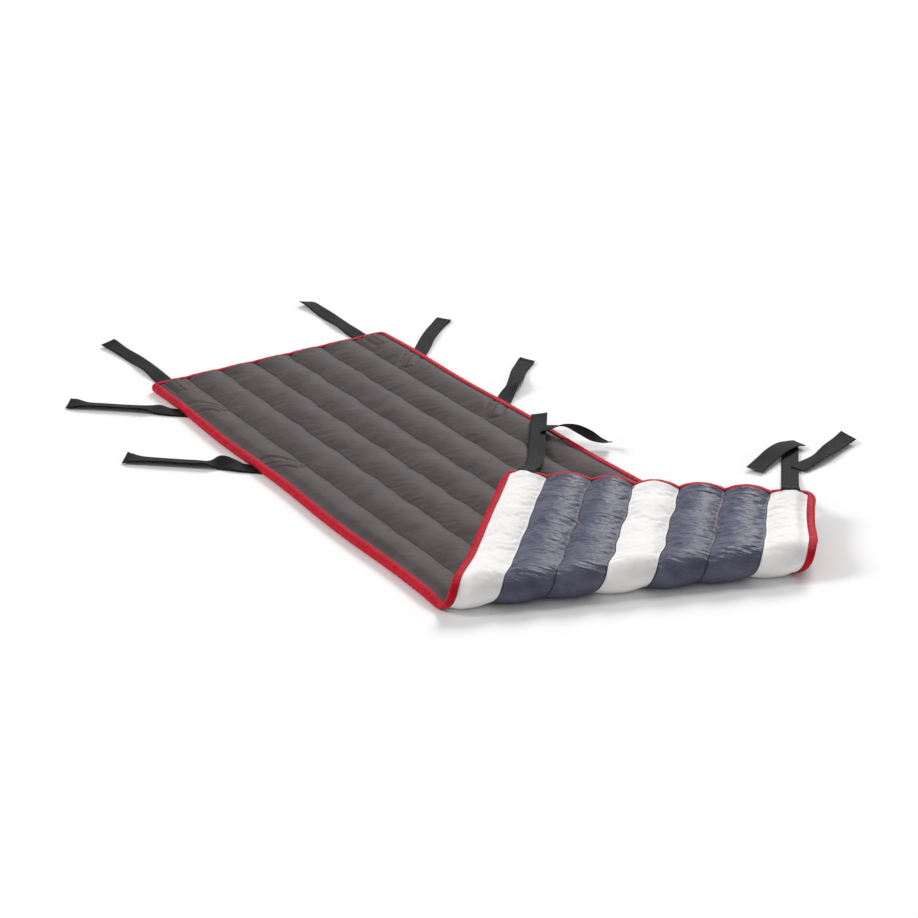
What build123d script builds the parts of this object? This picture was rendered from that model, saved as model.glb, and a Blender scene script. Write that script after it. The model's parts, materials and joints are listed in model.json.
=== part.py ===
"""Quilted rescue stretcher: a seven-channel padded mat with webbing ties, its foot end folded over.

Millimetres. +Z is up and +Y runs towards the head end. The origin is on the floor, under the
middle of the mat's width. The mat is drawn laid out flat; what lies beyond the fold is then
carried over by four equal turns, one about each crease of the fold.
"""

import os
from math import asin, cos, degrees, radians, sin

from build123d import *

# --- the mat -----------------------------------------------------------------------------
CHANNELS = 7
CHANNEL_PITCH = 100.0  # width of one quilted channel
MAT_LENGTH = 2100.0
HEAD_Y = 800.0  # how far the head end is from the origin
FOLD_LEFT = 1451.0  # from the head end to the first crease, along the left edge
FOLD_RIGHT = 1731.0  # the same, along the right edge

PAD_HEIGHT = 30.0  # a channel's full thickness
SEAM_HEIGHT = 6.0  # thickness pinched at a quilting seam
SEAM_LAND = 4.0  # flat width that a seam leaves
SHOULDER = 28.0  # from a seam's land to where a channel lies flat on the floor
COVER = 1.0  # cover fabric
LAYER_GAP = 0.3  # between wadding, cover and webbing

HEM_HEIGHT = 13.0  # the edge, inside its binding
HEM_CLEAR = 1.9  # from the webbing that runs under an edge to its binding
HEM_WIDTH = 18.0
BINDING = 1.2  # binding tape
BINDING_LEG = 17.0  # how far the tape reaches in over the edge
BINDING_GAP = 0.2

THREAD = 1.2  # quilting thread, drawn as a bar
THREAD_HEIGHT = 0.8

# --- the fold: three narrow strips between four creases -----------------------------------
STRIP = 31.0  # from one crease to the next, on the outer face
FOLD_SINK = 17.0  # how far the turned-over end comes down over its longer edge
FOLD_GAP = 0.5  # between neighbouring cut faces once folded

# --- the webbing ties ---------------------------------------------------------------------
WEB_WIDTH = 40.0
WEB = 1.8
WEB_LIFT = 1.3  # from the floor to the lower layer
WEB_STEP = 2.1  # from one layer to the next
END_TIE = 390.0  # free length of a head or foot tie
SIDE_TIE = 320.0  # free length of a side tie
TIE_INSET = 55.0  # head and foot ties, from the mat's corner
SHOULDER_TIE = 185.0  # side ties, from the head end
HIP_TIE = 605.0
SIDE_YAW = 45.0  # how far a side tie leans towards the head
END_TAB = 90.0  # sewn length inside the mat
SIDE_TAB = 112.0
TIE_CLEAR = 8.0  # from the mat's edge to the line that a tie bends at
TIE_GAP = 0.6  # between the sewn part and the free part
ON_MAT = 31.5  # height at which the left foot tie lies
ON_FLOOR = 0.8  # height at which the right foot tie lies
WEB_DROP = 150.0  # length over which a foot tie comes down from the flap
TAIL_PAST_EDGE = 53.0  # how far the left foot tie's tail runs level past the mat's edge
TAIL_END_Z = 14.0
LEFT_TAIL_AT = 300.0  # where each tail leaves its tie, from the bend
RIGHT_TAIL_AT = 268.0
TAIL_FALL = 85.0  # over which it then comes down
RIGHT_TAIL = 200.0  # free length of each tail
FOLDED_TAIL = 200.0
FOLDED_TAIL_LEAN = 35.0  # how far it turns aside from doubling straight back
RIGHT_TAIL_LEAN = 30.0
TAIL_GAP = 0.4

# --- worked out ---------------------------------------------------------------------------
WIDTH = CHANNELS * CHANNEL_PITCH
LEFT = -WIDTH / 2
RIGHT = WIDTH / 2
FOOT_Y = HEAD_Y - MAT_LENGTH
MID_Z = PAD_HEIGHT / 2
SEAM_TOP = MID_Z + SEAM_HEIGHT / 2
SEAM_BOTTOM = MID_Z - SEAM_HEIGHT / 2
WRAP = BINDING_GAP + BINDING
HEM_BOTTOM = WEB_LIFT + WEB_STEP + WEB + HEM_CLEAR + WRAP
HEM_TOP = HEM_BOTTOM + HEM_HEIGHT
CREASES = 4
FOLD_ANGLE = 180 + degrees(asin(FOLD_SINK / (MAT_LENGTH - FOLD_LEFT)))
TURN = FOLD_ANGLE / CREASES
FOLD_START = Vector(LEFT, HEAD_Y - FOLD_LEFT, 0)
FOLD_DIR = (Vector(RIGHT, HEAD_Y - FOLD_RIGHT, 0) - FOLD_START).normalized()
FOLD_NORMAL = Vector(FOLD_DIR.Y, -FOLD_DIR.X, 0)  # level, towards the foot end
SIDE_CLEAR = (TIE_CLEAR + WEB_WIDTH / 2 * sin(radians(SIDE_YAW))) / cos(radians(SIDE_YAW))

MAIN = 0  # the mat's part ahead of the fold; 1, 2 and 3 are the strips
FLAP = CREASES  # the part beyond the fold
UP = Vector(0, 0, 1)

# --- folding ------------------------------------------------------------------------------


def crease_point(crease):
    """A point on one of the four creases, laid flat."""
    return FOLD_START + FOLD_NORMAL * (STRIP * (crease - 1))


def crease_face(crease, side):
    """The plane that a part ends at. side is 1 for the part ahead of the crease, else -1."""
    out = FOLD_NORMAL * (side * cos(radians(TURN / 2))) + UP * sin(radians(TURN / 2))
    return Plane(origin=crease_point(crease) - out * (FOLD_GAP / 2), x_dir=FOLD_DIR, z_dir=out)


def cut_at_creases(section):
    """Trims the work in hand to one of the mat's five parts."""
    if section > MAIN:
        split(bisect_by=crease_face(section, -1), keep=Keep.BOTTOM)
    if section < FLAP:
        split(bisect_by=crease_face(section + 1, 1), keep=Keep.BOTTOM)


def folded(shape, section):
    """Carries a flat-laid shape to where its part of the mat rests."""
    for crease in range(section, 0, -1):
        shape = shape.rotate(Axis(crease_point(crease), FOLD_DIR * -1), TURN)
    return shape


def keep(part, name, section=MAIN):
    """Folds one finished piece into place and writes it."""
    part = folded(part, section)
    part.label = name
    export_step(part, f"parts/{name}.step")


# --- cross-sections, drawn across the mat's width -----------------------------------------


def channel_span(channel):
    """The width of a channel, where its crown starts and ends, and which ends are hems."""
    low = LEFT + channel * CHANNEL_PITCH
    high = low + CHANNEL_PITCH
    hem_left = channel == 0
    hem_right = channel == CHANNELS - 1
    start = low + (HEM_WIDTH if hem_left else SEAM_LAND / 2)
    end = high - (HEM_WIDTH if hem_right else SEAM_LAND / 2)
    return low, start, end, high, hem_left, hem_right


def top_line(first, last, drop=0.0, trim=0.0):
    """Draws the upper surface of channels first to last, lowered by drop. Gives its ends."""
    ends = []
    for channel in range(first, last + 1):
        low, start, end, high, hem_left, hem_right = channel_span(channel)
        low += trim if channel == first else 0
        high -= trim if channel == last else 0
        z_start = (HEM_TOP if hem_left else SEAM_TOP) - drop
        z_end = (HEM_TOP if hem_right else SEAM_TOP) - drop
        Line((low, z_start), (start, z_start))
        ThreePointArc((start, z_start), ((start + end) / 2, PAD_HEIGHT - drop), (end, z_end))
        Line((end, z_end), (high, z_end))
        ends += [(low, z_start), (high, z_end)]
    return ends[0], ends[-1]


def bottom_line(first, last, rise=0.0, trim=0.0):
    """Draws the under surface of channels first to last, raised by rise. Gives its ends."""
    ends = []
    for channel in range(first, last + 1):
        low, start, end, high, hem_left, hem_right = channel_span(channel)
        low += trim if channel == first else 0
        high -= trim if channel == last else 0
        z_start = (HEM_BOTTOM if hem_left else SEAM_BOTTOM) + rise
        z_end = (HEM_BOTTOM if hem_right else SEAM_BOTTOM) + rise
        Line((low, z_start), (start, z_start))
        TangentArc((start + SHOULDER, rise), (start, z_start), tangent=(-1, 0))
        Line((start + SHOULDER, rise), (end - SHOULDER, rise))
        TangentArc((end - SHOULDER, rise), (end, z_end), tangent=(1, 0))
        Line((end, z_end), (high, z_end))
        ends += [(low, z_start), (high, z_end)]
    return ends[0], ends[-1]


def padded_face(first, last, inset=0.0, trim=0.0):
    """The mat's full section over some channels, thinned by inset and narrowed by trim."""
    with BuildSketch() as face:
        with BuildLine():
            upper = top_line(first, last, inset, trim)
            lower = bottom_line(first, last, inset, trim)
            Line(upper[0], lower[0])
            Line(upper[1], lower[1])
        make_face()
    return face.sketch


def inner_cover_face():
    """The section of the plain inner cover."""
    with BuildSketch() as face:
        with BuildLine():
            upper = top_line(0, CHANNELS - 1)
            lower = top_line(0, CHANNELS - 1, COVER)
            Line(upper[0], lower[0])
            Line(upper[1], lower[1])
        make_face()
    return face.sketch


def outer_panel_face(first, last):
    """The section of one panel of the outer cover."""
    with BuildSketch() as face:
        with BuildLine():
            lower = bottom_line(first, last)
            upper = bottom_line(first, last, COVER)
            Line(upper[0], lower[0])
            Line(upper[1], lower[1])
        make_face()
    return face.sketch


def binding_face(edge, inwards):
    """The folded tape's section around an edge; inwards is the sign of the way in."""
    outline = [
        (BINDING_LEG, HEM_TOP + BINDING_GAP), (BINDING_LEG, HEM_TOP + WRAP),
        (-WRAP, HEM_TOP + WRAP), (-WRAP, HEM_BOTTOM - WRAP),
        (BINDING_LEG, HEM_BOTTOM - WRAP), (BINDING_LEG, HEM_BOTTOM - BINDING_GAP),
        (-BINDING_GAP, HEM_BOTTOM - BINDING_GAP), (-BINDING_GAP, HEM_TOP + BINDING_GAP),
    ]
    with BuildSketch() as face:
        with BuildLine():
            Polyline(*[(edge + inwards * x, z) for x, z in outline], close=True)
        make_face()
    return face.sketch


# --- where each part's sections run -------------------------------------------------------


def across(y):
    """An upright plane across the mat. Extrusion from it runs towards the foot."""
    return Plane(origin=(0, y, 0), x_dir=(1, 0, 0), z_dir=(0, -1, 0))


def section_run(section, margin):
    """Where a part's sections start and how far they run, ending margin short of its hem."""
    ahead = HEAD_Y - FOLD_LEFT + CHANNEL_PITCH
    beyond = HEAD_Y - FOLD_RIGHT - 2 * CHANNEL_PITCH
    start = HEAD_Y - margin if section == MAIN else ahead
    stop = FOOT_Y + margin if section == FLAP else beyond
    return start, start - stop


def end_y(section):
    """The mat's own end in a part: the head end, or the foot end of the flap."""
    return FOOT_Y if section == FLAP else HEAD_Y


def inward(section):
    """The way into the mat from that end, as a sign along Y."""
    return 1 if section == FLAP else -1


# --- where the ties are sewn, laid flat ---------------------------------------------------


def tie_site(x, y, yaw, tab, clear, section=MAIN):
    """One sewn place: a point on the mat's edge and the webbing's direction there."""
    return {"x": x, "y": y, "yaw": yaw, "tab": tab, "clear": clear, "section": section}


def side_site(side, from_head):
    """A side tie's sewn place; side is -1 for the left edge and 1 for the right."""
    yaw = SIDE_YAW if side > 0 else 180 - SIDE_YAW
    return tie_site(side * RIGHT, HEAD_Y - from_head, yaw, SIDE_TAB, SIDE_CLEAR)


SITES = {
    "head_left": tie_site(LEFT + TIE_INSET, HEAD_Y, 90, END_TAB, TIE_CLEAR),
    "head_right": tie_site(RIGHT - TIE_INSET, HEAD_Y, 90, END_TAB, TIE_CLEAR),
    "shoulder_left": side_site(-1, SHOULDER_TIE),
    "shoulder_right": side_site(1, SHOULDER_TIE),
    "hip_left": side_site(-1, HIP_TIE),
    "hip_right": side_site(1, HIP_TIE),
    "foot_left": tie_site(LEFT + TIE_INSET, FOOT_Y, -90, END_TAB, TIE_CLEAR, FLAP),
    "foot_right": tie_site(RIGHT - TIE_INSET, FOOT_Y, -90, END_TAB, TIE_CLEAR, FLAP),
}


def site_plane(site, z):
    """A level plane at a sewn place, its x along the webbing and its origin at the bend."""
    along = Vector(cos(radians(site["yaw"])), sin(radians(site["yaw"])), 0)
    origin = Vector(site["x"], site["y"], z) + along * site["clear"]
    return Plane(origin=origin, x_dir=along, z_dir=UP)


def cut_web_pockets(section):
    """Cuts the room for the sewn webbing out of the work in hand."""
    height = WEB_STEP + WEB + 2 * LAYER_GAP
    for site in SITES.values():
        if site["section"] == section:
            length = site["tab"] + LAYER_GAP
            with BuildSketch(site_plane(site, WEB_LIFT - LAYER_GAP)) as room:
                with Locations((-length / 2, 0)):
                    Rectangle(length, WEB_WIDTH + 2 * LAYER_GAP)
            extrude(room.sketch, amount=height, mode=Mode.SUBTRACT)


# --- covers, wadding, binding and thread --------------------------------------------------


def hem_wall(section):
    """Where the upright end of the padding starts, one cover thick."""
    y = end_y(section) + inward(section) * HEM_WIDTH
    return y if section == MAIN else y + COVER


def build_inner_cover(section):
    """The plain inner cover, down to the flat hem inside the end binding."""
    start, run = section_run(section, HEM_WIDTH)
    with BuildPart() as cover:
        with BuildSketch(across(start)):
            add(inner_cover_face())
        extrude(amount=run)
        with BuildSketch(across(hem_wall(section))):
            with BuildLine():
                upper = top_line(0, CHANNELS - 1)
                Polyline(upper[0], (LEFT, SEAM_TOP - COVER), (RIGHT, SEAM_TOP - COVER), upper[1])
            make_face()
            with Locations((0, (HEM_TOP + SEAM_TOP - COVER) / 2)):
                Rectangle(WIDTH, HEM_TOP - SEAM_TOP + COVER)
        extrude(amount=COVER)
        with BuildSketch(Plane.XY.offset(HEM_TOP - COVER)):
            with Locations((0, end_y(section) + inward(section) * HEM_WIDTH / 2)):
                Rectangle(WIDTH, HEM_WIDTH)
        extrude(amount=COVER)
        cut_at_creases(section)
    return cover.part


def build_outer_panel(first, last, section):
    """One stripe of the outer cover, over one channel or two."""
    start, run = section_run(section, HEM_WIDTH)
    low = LEFT + first * CHANNEL_PITCH
    high = LEFT + (last + 1) * CHANNEL_PITCH
    with BuildPart() as panel:
        with BuildSketch(across(start)):
            add(outer_panel_face(first, last))
        extrude(amount=run)
        with BuildSketch(across(hem_wall(section))):
            with BuildLine():
                lower = bottom_line(first, last)
                top = SEAM_BOTTOM + COVER
                Polyline(lower[0], (low, top), (high, top), lower[1])
            make_face()
            with Locations(((low + high) / 2, (HEM_BOTTOM + top) / 2)):
                Rectangle(high - low, top - HEM_BOTTOM)
        extrude(amount=COVER)
        with BuildSketch(Plane.XY.offset(HEM_BOTTOM)):
            with Locations(((low + high) / 2, end_y(section) + inward(section) * HEM_WIDTH / 2)):
                Rectangle(high - low, HEM_WIDTH)
        extrude(amount=COVER)
        cut_at_creases(section)
        cut_web_pockets(section)
    return panel.part


def build_wadding(section):
    """The seven channels' filling, clear of the covers and the seams."""
    start, run = section_run(section, HEM_WIDTH + COVER + LAYER_GAP)
    with BuildPart() as wadding:
        with BuildSketch(across(start)):
            for channel in range(CHANNELS):
                add(padded_face(channel, channel, COVER + LAYER_GAP, SEAM_LAND / 2 - LAYER_GAP))
        extrude(amount=run)
        cut_at_creases(section)
        cut_web_pockets(section)
    return wadding.part


def build_side_binding(side, section):
    """The tape along one long edge, mitred where it meets an end's tape."""
    start, run = section_run(section, -WRAP)
    with BuildPart() as tape:
        with BuildSketch(across(start)):
            add(binding_face(side * RIGHT, -side))
        extrude(amount=run)
        cut_at_creases(section)
        if section in (MAIN, FLAP):
            split(bisect_by=mitre(side, section), keep=Keep.BOTTOM)
    return tape.part


def build_end_binding(section):
    """The tape across the head or the foot, mitred at both corners."""
    with BuildPart() as tape:
        with BuildSketch(Plane(origin=(LEFT - WRAP, 0, 0), x_dir=(0, 1, 0), z_dir=(1, 0, 0))):
            add(binding_face(end_y(section), inward(section)))
        extrude(amount=WIDTH + 2 * WRAP)
        for side in (-1, 1):
            split(bisect_by=mitre(side, section), keep=Keep.TOP)
    return tape.part


def mitre(side, section):
    """The upright plane through a corner at 45 degrees; its top side is the end tape's."""
    corner = (side * (RIGHT + WRAP), end_y(section) - inward(section) * WRAP, 0)
    return Plane(origin=corner, x_dir=(side, -inward(section), 0),
                 z_dir=(-side, -inward(section), 0))


def build_quilting(section):
    """The seams between the channels: a line of thread on each face of the mat."""
    start, run = section_run(section, HEM_WIDTH + COVER + LAYER_GAP)
    with BuildPart() as thread:
        with BuildSketch(across(start)):
            for seam in range(1, CHANNELS):
                x = LEFT + seam * CHANNEL_PITCH
                with Locations((x, SEAM_TOP + THREAD_HEIGHT / 2), (x, SEAM_BOTTOM - THREAD_HEIGHT / 2)):
                    Rectangle(THREAD, THREAD_HEIGHT)
        extrude(amount=run)
        cut_at_creases(section)
    return thread.part


def build_fold_strip(section):
    """One of the fold's narrow strips, quilted through."""
    start, run = section_run(section, 0)
    with BuildPart() as strip:
        with BuildSketch(across(start)):
            add(padded_face(0, CHANNELS - 1))
        extrude(amount=run)
        cut_at_creases(section)
    return strip.part


def build_fold_binding(section):
    """The edge tape at both ends of one of the fold's strips."""
    start, run = section_run(section, 0)
    with BuildPart() as tape:
        with BuildSketch(across(start)):
            for side in (-1, 1):
                add(binding_face(side * RIGHT, -side))
        extrude(amount=run)
        cut_at_creases(section)
    return tape.part


def build_tabs(section):
    """The sewn ends of the ties, two layers at each place."""
    with BuildPart() as tabs:
        for site in SITES.values():
            if site["section"] == section:
                length = site["tab"] - TIE_GAP
                for layer in range(2):
                    with BuildSketch(site_plane(site, WEB_LIFT + layer * WEB_STEP)):
                        with Locations((-TIE_GAP - length / 2, 0)):
                            Rectangle(length, WEB_WIDTH)
                    extrude(amount=WEB)
    return tabs.part


# --- free webbing -------------------------------------------------------------------------


def build_level_layer(name, length, layer):
    """One layer of a head or side tie, level with the floor."""
    with BuildPart() as web:
        with BuildSketch(site_plane(SITES[name], WEB_LIFT + layer * WEB_STEP)):
            with Locations((length / 2, 0)):
                Rectangle(length, WEB_WIDTH)
        extrude(amount=WEB)
    return web.part


def build_draped_web(start, heading, profile, cuts=()):
    """Webbing laid from above start along a level heading.

    profile gives the height of its under face at distances from start. Each cut is an upright
    plane, and the webbing on its top side stays.
    """
    side = Plane(origin=(start.X, start.Y, 0), x_dir=heading, z_dir=heading.cross(UP))
    with BuildPart() as web:
        with BuildSketch(side):
            with BuildLine():
                upper = [(distance, z + WEB) for distance, z in reversed(profile)]
                Polyline(*profile, *upper, close=True)
            make_face()
        extrude(amount=WEB_WIDTH / 2, both=True)
        for cut in cuts:
            split(bisect_by=cut, keep=Keep.TOP)
    return web.part


def folded_point(x, y, z):
    """Where a point of the flat-laid foot end rests once folded."""
    return folded(Vertex(x, y, z), FLAP).center()


def level_turn(direction, angle):
    """A level direction turned by an angle, seen from above."""
    return direction.rotate(Axis.Z, angle)


os.makedirs("parts", exist_ok=True)

PANELS = {"white_left": (0, 0), "navy_left": (1, 2), "white_centre": (3, 3),
          "navy_right": (4, 5), "white_right": (6, 6)}

for section, place in ((MAIN, "main"), (FLAP, "flap")):
    keep(build_inner_cover(section), f"{place}_inner_cover", section)
    for panel, (first, last) in PANELS.items():
        keep(build_outer_panel(first, last, section), f"{place}_{panel}", section)
    keep(build_wadding(section), f"{place}_wadding", section)
    keep(build_side_binding(-1, section), f"{place}_binding_left", section)
    keep(build_side_binding(1, section), f"{place}_binding_right", section)
    keep(build_end_binding(section), f"{place}_binding_end", section)
    keep(build_quilting(section), f"{place}_quilting", section)
    keep(build_tabs(section), f"{place}_tie_tabs", section)

for section in range(MAIN + 1, FLAP):
    keep(build_fold_strip(section), f"fold_strip_{section}", section)
    keep(build_fold_binding(section), f"fold_binding_{section}", section)

for name, length in (("head_left", END_TIE), ("head_right", END_TIE),
                     ("shoulder_left", SIDE_TIE), ("shoulder_right", SIDE_TIE),
                     ("hip_left", SIDE_TIE), ("hip_right", SIDE_TIE)):
    keep(build_level_layer(name, length, 0), f"tie_{name}_lower")
    keep(build_level_layer(name, length, 1), f"tie_{name}_upper")

# The foot ties leave the flap's end along its length and come down to what they lie on.
LAYER_Z = WEB_LIFT + WEB_STEP + WEB  # the laid-flat height that ends up lowest once folded
FOOT_MIDDLE = folded_point(0, FOOT_Y, 0)
FOOT_BEYOND = folded_point(0, FOOT_Y - 1, 0)
ALONG = Vector(FOOT_BEYOND.X - FOOT_MIDDLE.X, FOOT_BEYOND.Y - FOOT_MIDDLE.Y, 0).normalized()
ASIDE = ALONG.cross(UP)  # level, to the right

# Left: down onto the mat, with one tail that leaves it sideways and hangs past the mat's edge.
LEFT_START = folded_point(LEFT + TIE_INSET, FOOT_Y - TIE_CLEAR, LAYER_Z)
LEFT_BRANCH = LEFT_START + ALONG * LEFT_TAIL_AT + ASIDE * (WEB_WIDTH / 2 + TAIL_GAP)
keep(build_draped_web(LEFT_START, ALONG, [(0, LEFT_START.Z), (WEB_DROP, ON_MAT), (END_TIE, ON_MAT)]),
     "tie_foot_left")
LEVEL_RUN = (RIGHT - LEFT_BRANCH.X) / ASIDE.X + TAIL_PAST_EDGE
keep(build_draped_web(LEFT_BRANCH, ASIDE,
                      [(0, ON_MAT), (LEVEL_RUN, ON_MAT), (LEVEL_RUN + TAIL_FALL, TAIL_END_Z)]),
     "tie_foot_left_tail")

# Right: down to the floor. One tail is folded back over it and one leaves it sideways.
RIGHT_START = folded_point(RIGHT - TIE_INSET, FOOT_Y - TIE_CLEAR, LAYER_Z)
RIGHT_CREASE = RIGHT_START + ALONG * END_TIE
CREASE_OUT = level_turn(ALONG, -FOLDED_TAIL_LEAN / 2)
FOLDED_HEADING = level_turn(ALONG * -1, -FOLDED_TAIL_LEAN)
RIGHT_BRANCH = RIGHT_START + ALONG * RIGHT_TAIL_AT + ASIDE * (WEB_WIDTH / 2 + TAIL_GAP)
RIGHT_HEADING = level_turn(ALONG, -RIGHT_TAIL_LEAN)
AT_CREASE = Plane(origin=RIGHT_CREASE - CREASE_OUT * TAIL_GAP, x_dir=UP, z_dir=CREASE_OUT * -1)
AT_BRANCH = Plane(origin=RIGHT_BRANCH, x_dir=UP, z_dir=ASIDE)
OVER_WEB = ON_FLOOR + WEB + LAYER_GAP
keep(build_draped_web(RIGHT_START, ALONG,
                      [(0, RIGHT_START.Z), (WEB_DROP * 1.4, ON_FLOOR), (END_TIE + WEB_WIDTH, ON_FLOOR)],
                      [AT_CREASE]), "tie_foot_right")
keep(build_draped_web(RIGHT_CREASE, FOLDED_HEADING,
                      [(-WEB_WIDTH, OVER_WEB), (FOLDED_TAIL / 2, OVER_WEB), (FOLDED_TAIL, ON_FLOOR)],
                      [AT_CREASE]), "tie_foot_right_folded_tail")
keep(build_draped_web(RIGHT_BRANCH, RIGHT_HEADING,
                      [(-WEB_WIDTH, ON_FLOOR), (RIGHT_TAIL, ON_FLOOR)],
                      [AT_BRANCH]), "tie_foot_right_tail")
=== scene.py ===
"""Looks of the quilted rescue stretcher: cloth, binding, stitching, webbing, studio and camera.

The quilt is shaped laid out flat, in the CAD's flat layout, and then rolled over its fold
to the CAD's rest pose. It is cut into one piece per body of the fold, but only the main and flap
pieces follow their bodies.
"""

import json
import math

import bpy
import numpy as np
from mathutils import Matrix


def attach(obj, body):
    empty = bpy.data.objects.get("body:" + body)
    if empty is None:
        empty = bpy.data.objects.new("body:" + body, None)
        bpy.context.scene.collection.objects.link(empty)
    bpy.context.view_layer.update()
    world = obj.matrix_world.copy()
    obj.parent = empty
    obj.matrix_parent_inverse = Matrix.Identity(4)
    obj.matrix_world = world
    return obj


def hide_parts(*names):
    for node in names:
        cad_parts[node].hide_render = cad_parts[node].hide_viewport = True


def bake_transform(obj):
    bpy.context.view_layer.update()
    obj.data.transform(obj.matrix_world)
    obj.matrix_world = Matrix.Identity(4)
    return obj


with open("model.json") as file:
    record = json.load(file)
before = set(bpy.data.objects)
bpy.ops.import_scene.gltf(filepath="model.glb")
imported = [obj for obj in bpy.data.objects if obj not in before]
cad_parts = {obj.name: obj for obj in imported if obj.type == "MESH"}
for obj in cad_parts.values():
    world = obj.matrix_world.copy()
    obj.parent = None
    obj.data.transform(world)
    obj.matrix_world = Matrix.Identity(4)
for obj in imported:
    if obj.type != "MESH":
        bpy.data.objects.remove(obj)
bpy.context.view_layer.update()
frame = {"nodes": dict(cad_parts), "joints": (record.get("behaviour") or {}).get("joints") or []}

# --- sizes, as in the CAD -------------------------------------------
CHANNELS = 7
PITCH = 0.1
WIDTH = CHANNELS * PITCH
HALF = WIDTH / 2
LENGTH = 2.1
HEAD_Y = 0.8
FOOT_Y = HEAD_Y - LENGTH
MIDDLE_Y = (HEAD_Y + FOOT_Y) / 2
STRIP = 0.031
WEB_WIDTH = 0.04
TIE_INSET = 0.055
SHOULDER_Y = HEAD_Y - 0.185
HIP_Y = HEAD_Y - 0.605

joints = {j["name"]: j for j in frame["joints"]}


def joint_vector(name, key):
    return np.array(joints[name][key], float)


# The first crease passes through F0 along FD, and FN points level across the fold. The last
# crease lies N4 across and Z4 above the first.
FOLD_ANGLE = math.radians(4 * joints["fold_crease_1"]["range_deg"][1])
F0 = joint_vector("fold_crease_1", "pos_m")
FD = joint_vector("fold_crease_1", "axis")
FN = np.array([FD[1], -FD[0], 0.0])
CREASE4 = joint_vector("fold_crease_4", "pos_m") - F0
N4, Z4 = CREASE4 @ FN, CREASE4[2]
# The roll is an arc of radius ROLL_R that is as long as the strips it stands for. It starts
# ROLL_A before the first crease and ends as far past the last.
ROLL_R = Z4 / 2
for _ in range(20):
    ROLL_A = (ROLL_R * FOLD_ANGLE - 3 * STRIP) / 2
    ROLL_R = (Z4 + ROLL_A * math.sin(FOLD_ANGLE)) / (1 - math.cos(FOLD_ANGLE))
# t is the distance past the first crease, laid flat
T_START, T_END = -ROLL_A, 3 * STRIP + ROLL_A
T_MIDDLE = (T_START + T_END) / 2
SPLITS = [T_START, STRIP / 2, STRIP * 1.5, STRIP * 2.5, T_END]  # where the parts are cut
PARTS = ["main", "fold_1", "fold_2", "fold_3", "fold_4", "flap"]
ROWS = [340, 10, 10, 10, 10, 176]  # of the quilt's grid, in each part

# --- the quilt's section, laid flat ---------------------------------
SEAM_TOP, SEAM_BOTTOM = 0.015, 0.0092
HEM_TOP, HEM_BOTTOM = 0.0195, 0.0052
CROWN = 0.0145  # how far a channel swells past its seams, on each face
SIM_CROWN = 0.0175  # the same, as the cloth simulation leaves it
CORNER = 0.017  # the mat's corner radius
CROWN_POWER = 2.3  # how square a channel's crown is
CORNER_INSET = 0.0015
COVER_INSET = 0.0012  # the covers end just inside the binding's fold
BINDING_LEG = 0.0165  # how far the binding reaches in from the edge
BINDING = 0.0013  # its thickness
CELLS = 24  # across one channel
FLOOR_GAP = 0.0003
ROLL_SQUEEZE = 0.42  # the share of its thickness that the padding loses inside the roll
ROLL_BULGE = 0.006


def smooth(x, low=0.0, high=1.0):
    s = np.clip((x - low) / (high - low), 0, 1)
    return s * s * (3 - 2 * s)


def bump(distance, inner, outer):
    """1 inside inner, 0 outside outer."""
    return 1 - smooth(distance, inner, outer)


def in_channel(x):
    """Place across a channel: -1 and 1 at its seams."""
    place = (x + HALF) / PITCH
    return 2 * (place - np.floor(np.clip(place, 0, CHANNELS - 1e-6))) - 1


# --- cloth simulation of the quilted covers -------------------------
SIM_CELLS = 12
SIM_ROWS = 251
SIM_FRAMES = 16
SIM_POWER = 2.6  # how square the cloth is at first


def simulate_cover(seed, growth, pressure, bending, stiffness):
    """Blows up a cloth that is larger than its seams allow, and gives its heights on a grid."""
    columns = CHANNELS * SIM_CELLS + 1
    x, y = np.meshgrid(np.linspace(-HALF, HALF, columns), np.linspace(HEAD_Y, FOOT_Y, SIM_ROWS))
    across = in_channel(x)
    arch = 1 - np.abs(across) ** SIM_POWER
    uneven = np.random.default_rng(seed).normal(0, 0.0006, x.shape) * (np.abs(across) < 0.98)
    points = np.stack([x, y, 0.006 * arch + uneven], -1).reshape(-1, 3)
    mesh = bpy.data.meshes.new("cover_simulation")
    mesh.from_pydata(points.tolist(), [], grid_faces(*x.shape).tolist())
    cloth = bpy.data.objects.new("cover_simulation", mesh)
    bpy.context.scene.collection.objects.link(cloth)
    held = np.zeros(x.shape, bool)
    held[:, ::SIM_CELLS] = True
    held[[0, -1]] = True
    group = cloth.vertex_groups.new(name="held")
    group.add(np.flatnonzero(held).tolist(), 1.0, "REPLACE")
    modifier = cloth.modifiers.new("cloth", "CLOTH")
    settings = modifier.settings
    settings.vertex_group_mass = "held"
    settings.mass = 0.3
    settings.quality = 5
    settings.tension_stiffness = stiffness
    settings.compression_stiffness = stiffness
    settings.shear_stiffness = stiffness / 3
    settings.bending_stiffness = bending
    settings.use_pressure = True
    settings.uniform_pressure_force = pressure
    settings.shrink_min = -growth
    settings.effector_weights.gravity = 0
    settings.air_damping = 2
    settings.tension_damping = 10
    settings.compression_damping = 10
    modifier.collision_settings.use_collision = False
    modifier.point_cache.frame_end = SIM_FRAMES
    for step in range(1, SIM_FRAMES + 1):
        bpy.context.scene.frame_set(step)
    result = cloth.evaluated_get(bpy.context.evaluated_depsgraph_get()).data
    out = np.zeros(len(result.vertices) * 3)
    result.vertices.foreach_get("co", out)
    bpy.data.objects.remove(cloth)
    bpy.data.meshes.remove(mesh)
    bpy.context.scene.frame_set(1)
    return out.reshape(*x.shape, 3)[..., 2]


def cubic_weights(f):
    """Weights of four points in a row, at a share f between the middle two."""
    return np.stack([
        -0.5 * f + f * f - 0.5 * f ** 3, 1 - 2.5 * f * f + 1.5 * f ** 3,
        0.5 * f + 2 * f * f - 1.5 * f ** 3, -0.5 * f * f + 0.5 * f ** 3,
    ], -1)


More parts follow.
